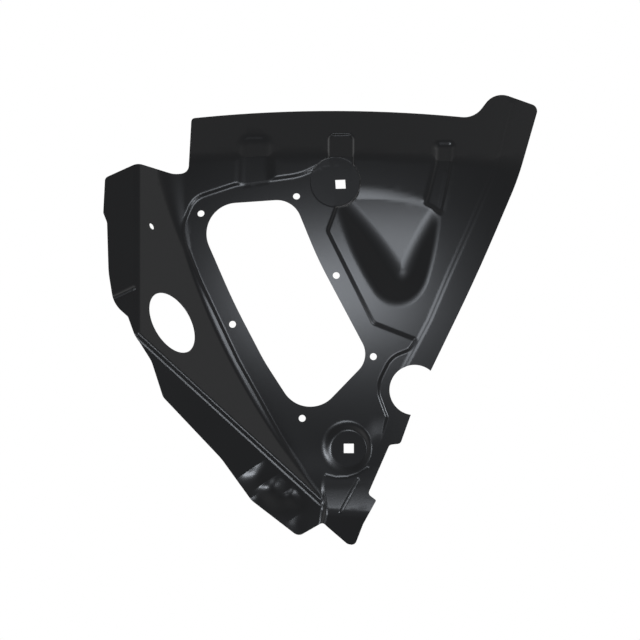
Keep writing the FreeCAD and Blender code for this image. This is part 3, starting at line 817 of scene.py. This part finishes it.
class Paintbox:
    """Builds one material's node tree."""

    def __init__(self, name):
        self.material = bpy.data.materials.new(name)
        self.material.use_nodes = True
        self.tree = self.material.node_tree
        self.tree.nodes.clear()
        self.end = self.tree.nodes.new("ShaderNodeOutputMaterial")

    def node(self, kind, settings=None, sockets=None, out=0):
        """Add a node: first its settings, then the values or links of its sockets."""
        made = self.tree.nodes.new(kind)
        for key, setting in (settings or {}).items():
            if key == "stops":
                ramp = made.color_ramp
                while len(ramp.elements) > 1:
                    ramp.elements.remove(ramp.elements[-1])
                for k, (place, colour) in enumerate(setting):
                    stop = ramp.elements[0] if k == 0 else ramp.elements.new(place)
                    stop.position = place
                    stop.color = (*colour, 1.0)
            else:
                setattr(made, key, setting)
        for key, feed in (sockets or {}).items():
            if isinstance(feed, Sock):
                self.tree.links.new(feed.out, made.inputs[key])
            else:
                made.inputs[key].default_value = feed
        return Sock(self.tree, made.outputs[out])

    def noise(self, scale, detail=2.0, rough=0.5):
        place = self.node("ShaderNodeTexCoord", out="Object")
        return self.node("ShaderNodeTexNoise", {"noise_dimensions": "3D"},
                         {"Vector": place, "Scale": scale, "Detail": detail,
                          "Roughness": rough})

    def finish(self, shader):
        self.tree.links.new(shader.out, self.end.inputs["Surface"])
        return self.material


def primer_material(paint):
    """Black dipped primer over pressed steel: soft gloss with a faint flow texture."""
    box = Paintbox("black_primer")
    cloud = box.noise(CLOUD_SCALE, CLOUD_DETAIL)
    grain = box.noise(GRAIN_SCALE)
    flow = box.noise(FLOW_SCALE)
    dark = [c * DARK_SHARE for c in paint.colour]
    light = [min(1.0, c * LIGHT_SHARE) for c in paint.colour]
    colour = box.node("ShaderNodeValToRGB",
                      {"stops": [(DARK_AT, dark), (LIGHT_AT, light)]}, {"Fac": cloud})
    rough = paint.roughness + (cloud - 0.5) * CLOUD_ROUGH + (grain - 0.5) * GRAIN_ROUGH
    bump = box.node("ShaderNodeBump", None, {
        "Strength": BUMP_STRENGTH, "Distance": BUMP_DISTANCE,
        "Height": flow * FLOW_HEIGHT + grain * GRAIN_HEIGHT})
    shader = box.node("ShaderNodeBsdfPrincipled", None, {
        "Base Color": colour, "Roughness": rough, "Normal": bump, "Metallic": 0.0,
        "Specular IOR Level": SPECULAR, "Specular Tint": SPECULAR_TINT, "IOR": PRIMER_IOR})
    return box.finish(shader)


def studio_material(name, colour):
    """Pale plain surface that shows white to the camera and in reflections."""
    box = Paintbox(name)
    speck = box.noise(SPECK_SCALE)
    shaded = [c * SPECK_SHARE for c in colour]
    tone = box.node("ShaderNodeValToRGB", {"stops": [(0.0, shaded), (1.0, colour)]},
                    {"Fac": speck})
    matt = box.node("ShaderNodeBsdfDiffuse", None, {"Color": tone})
    glow = box.node("ShaderNodeEmission", None, {"Color": (1.0, 1.0, 1.0, 1.0), "Strength": 1.0})
    seen = box.node("ShaderNodeLightPath", out="Is Camera Ray")
    mirrored = Sock(box.tree, seen.out.node.outputs["Is Glossy Ray"])
    through = Sock(box.tree, seen.out.node.outputs["Is Transmission Ray"])
    mixed = box.node("ShaderNodeMixShader", None,
                     {0: seen + mirrored + through, 1: matt, 2: glow})
    return box.finish(mixed)


# settings

class PanelSizes(bpy.types.PropertyGroup):
    """Sizes of the pressed sheet that a user would change."""
    gauge: bpy.props.FloatProperty(
        name="Sheet gauge", description="Thickness of the steel sheet", default=0.001,
        min=0.0004, max=0.003, subtype="DISTANCE", unit="LENGTH")
    screw_hole: bpy.props.FloatProperty(
        name="Screw hole", description="Diameter of the small round holes", default=0.007,
        min=0.003, max=0.012, subtype="DISTANCE", unit="LENGTH")
    square_hole: bpy.props.FloatProperty(
        name="Square hole", description="Side of the square holes", default=0.010,
        min=0.005, max=0.016, subtype="DISTANCE", unit="LENGTH")
    round_opening: bpy.props.FloatProperty(
        name="Round opening", description="Diameter of the large opening in the side face",
        default=0.066, min=0.03, max=0.07, subtype="DISTANCE", unit="LENGTH")
    cell: bpy.props.FloatProperty(
        name="Cell", description="Side of the sheet's largest mesh cells", default=0.0064,
        min=0.003, max=0.012, subtype="DISTANCE", unit="LENGTH")


class PanelPaint(bpy.types.PropertyGroup):
    """Finish of the sheet."""
    colour: bpy.props.FloatVectorProperty(
        name="Primer colour", description="Colour of the black primer", size=3,
        default=(0.0012, 0.0012, 0.0014), min=0.0, max=1.0, subtype="COLOR")
    roughness: bpy.props.FloatProperty(
        name="Roughness", description="How dull the primer is", default=0.34,
        min=0.0, max=1.0, subtype="FACTOR")


class StageSettings(bpy.types.PropertyGroup):
    """Floor, backdrop, lamps and camera."""
    floor_colour: bpy.props.FloatVectorProperty(
        name="Floor colour", description="Colour of floor and backdrop", size=3,
        default=(0.86, 0.86, 0.86), min=0.0, max=1.0, subtype="COLOR")
    key_power: bpy.props.FloatProperty(
        name="Key lamp", description="Power of the soft lamp above the camera", default=140.0,
        min=0.0, max=1000.0, unit="POWER")
    distance: bpy.props.FloatProperty(
        name="Camera distance", description="From the lens to the panel", default=6.0,
        min=1.0, max=20.0, subtype="DISTANCE", unit="LENGTH")


# stage

def white_world(scene):
    world = bpy.data.worlds.new("studio")
    scene.world = world
    world.use_nodes = True
    nodes = world.node_tree.nodes
    nodes.clear()
    sky = nodes.new("ShaderNodeBackground")
    sky.inputs["Color"].default_value = (1, 1, 1, 1)
    sky.inputs["Strength"].default_value = 1.0
    end = nodes.new("ShaderNodeOutputWorld")
    world.node_tree.links.new(sky.outputs[0], end.inputs["Surface"])


def add_lamp(scene, name, mirror, spot, far, wide, tall, power):
    """Soft lamp that a face with the mirror normal at the spot reflects to the camera."""
    nx, nz = mirror
    ny = -math.sqrt(1 - nx * nx - nz * nz)
    away = Vector((-2 * ny * nx, -2 * ny * ny + 1, -2 * ny * nz))
    spot = Vector(spot)
    data = bpy.data.lights.new(name, "AREA")
    data.shape = "RECTANGLE"
    data.size = wide
    data.size_y = tall
    data.energy = power
    data.color = LAMP_COLOUR
    lamp = bpy.data.objects.new(name, data)
    scene.collection.objects.link(lamp)
    lamp.visible_diffuse = False
    lamp.location = spot + away * far
    lamp.rotation_euler = (spot - lamp.location).to_track_quat("-Z", "Y").to_euler()


def add_camera(scene, distance):
    data = bpy.data.cameras.new("camera")
    data.type = "ORTHO"
    data.ortho_scale = VIEW_HEIGHT
    data.clip_end = VIEW_DEPTH
    camera = bpy.data.objects.new("camera", data)
    scene.collection.objects.link(camera)
    camera.location = Vector(VIEW_CENTRE) + Vector((0, -distance, 0))
    camera.rotation_euler = (math.pi / 2, 0, 0)
    scene.camera = camera


# operators

class HOUSING_OT_panel(bpy.types.Operator):
    """Press, trim and pierce the sheet, and paint it"""
    bl_idname = "housing.panel"
    bl_label = "Wheel housing panel"

    def execute(self, context):
        sizes = context.scene.housing_sizes
        sheet = flat_grid(sizes.cell / MM)
        sheet.name = "panel_sheet"
        drop_waste(sheet, WASTE_CELLS * sizes.cell / MM)
        for turn_limit, smallest, reach in REFINE:
            refine(sheet, turn_limit, smallest, reach)
        thicken(sheet)
        pierce(sheet, sizes)
        press(sheet, sizes.gauge / MM)
        sheet.data.materials.clear()
        sheet.data.materials.append(primer_material(context.scene.housing_paint))
        # the sheet mirrors the studio, not its own far side
        sheet.visible_glossy = False
        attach(sheet, "root")
        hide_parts(NODE)
        return {"FINISHED"}


class HOUSING_OT_stage(bpy.types.Operator):
    """Set up floor, backdrop, lamps and camera"""
    bl_idname = "housing.stage"
    bl_label = "Studio"

    def execute(self, context):
        scene = context.scene
        stage = scene.housing_stage
        only()
        bpy.ops.mesh.primitive_plane_add(size=FLOOR_SIZE, location=(0, 0, FLOOR_HEIGHT))
        floor = bpy.context.active_object
        floor.name = "floor"
        settle(floor)
        floor.data.materials.append(studio_material("studio_pale", stage.floor_colour))
        white_world(scene)
        for name, mirror, spot, far, wide, tall, share in LAMPS:
            add_lamp(scene, name, mirror, spot, far, wide, tall, stage.key_power * share)
        add_camera(scene, stage.distance)
        scene.view_settings.view_transform = "Standard"
        return {"FINISHED"}


class HOUSING_PT_panel(bpy.types.Panel):
    """Lists the pieces and their settings"""
    bl_idname = "HOUSING_PT_panel"
    bl_label = "Wheel housing panel"
    bl_space_type = "VIEW_3D"
    bl_region_type = "UI"
    bl_category = "Panel"

    def draw(self, context):
        layout = self.layout
        for group in (context.scene.housing_sizes, context.scene.housing_paint,
                      context.scene.housing_stage):
            for key in group.__annotations__:
                layout.prop(group, key)
        layout.operator("housing.panel")
        layout.operator("housing.stage")


CLASSES = (PanelSizes, PanelPaint, StageSettings, HOUSING_OT_panel, HOUSING_OT_stage,
           HOUSING_PT_panel)


def register():
    for cls in CLASSES:
        bpy.utils.register_class(cls)
    bpy.types.Scene.housing_sizes = bpy.props.PointerProperty(type=PanelSizes)
    bpy.types.Scene.housing_paint = bpy.props.PointerProperty(type=PanelPaint)
    bpy.types.Scene.housing_stage = bpy.props.PointerProperty(type=StageSettings)


def unregister():
    del bpy.types.Scene.housing_stage
    del bpy.types.Scene.housing_paint
    del bpy.types.Scene.housing_sizes
    for cls in reversed(CLASSES):
        bpy.utils.unregister_class(cls)


def main():
    register()
    bpy.ops.housing.panel()
    bpy.ops.housing.stage()


if __name__ == "__main__":
    main()
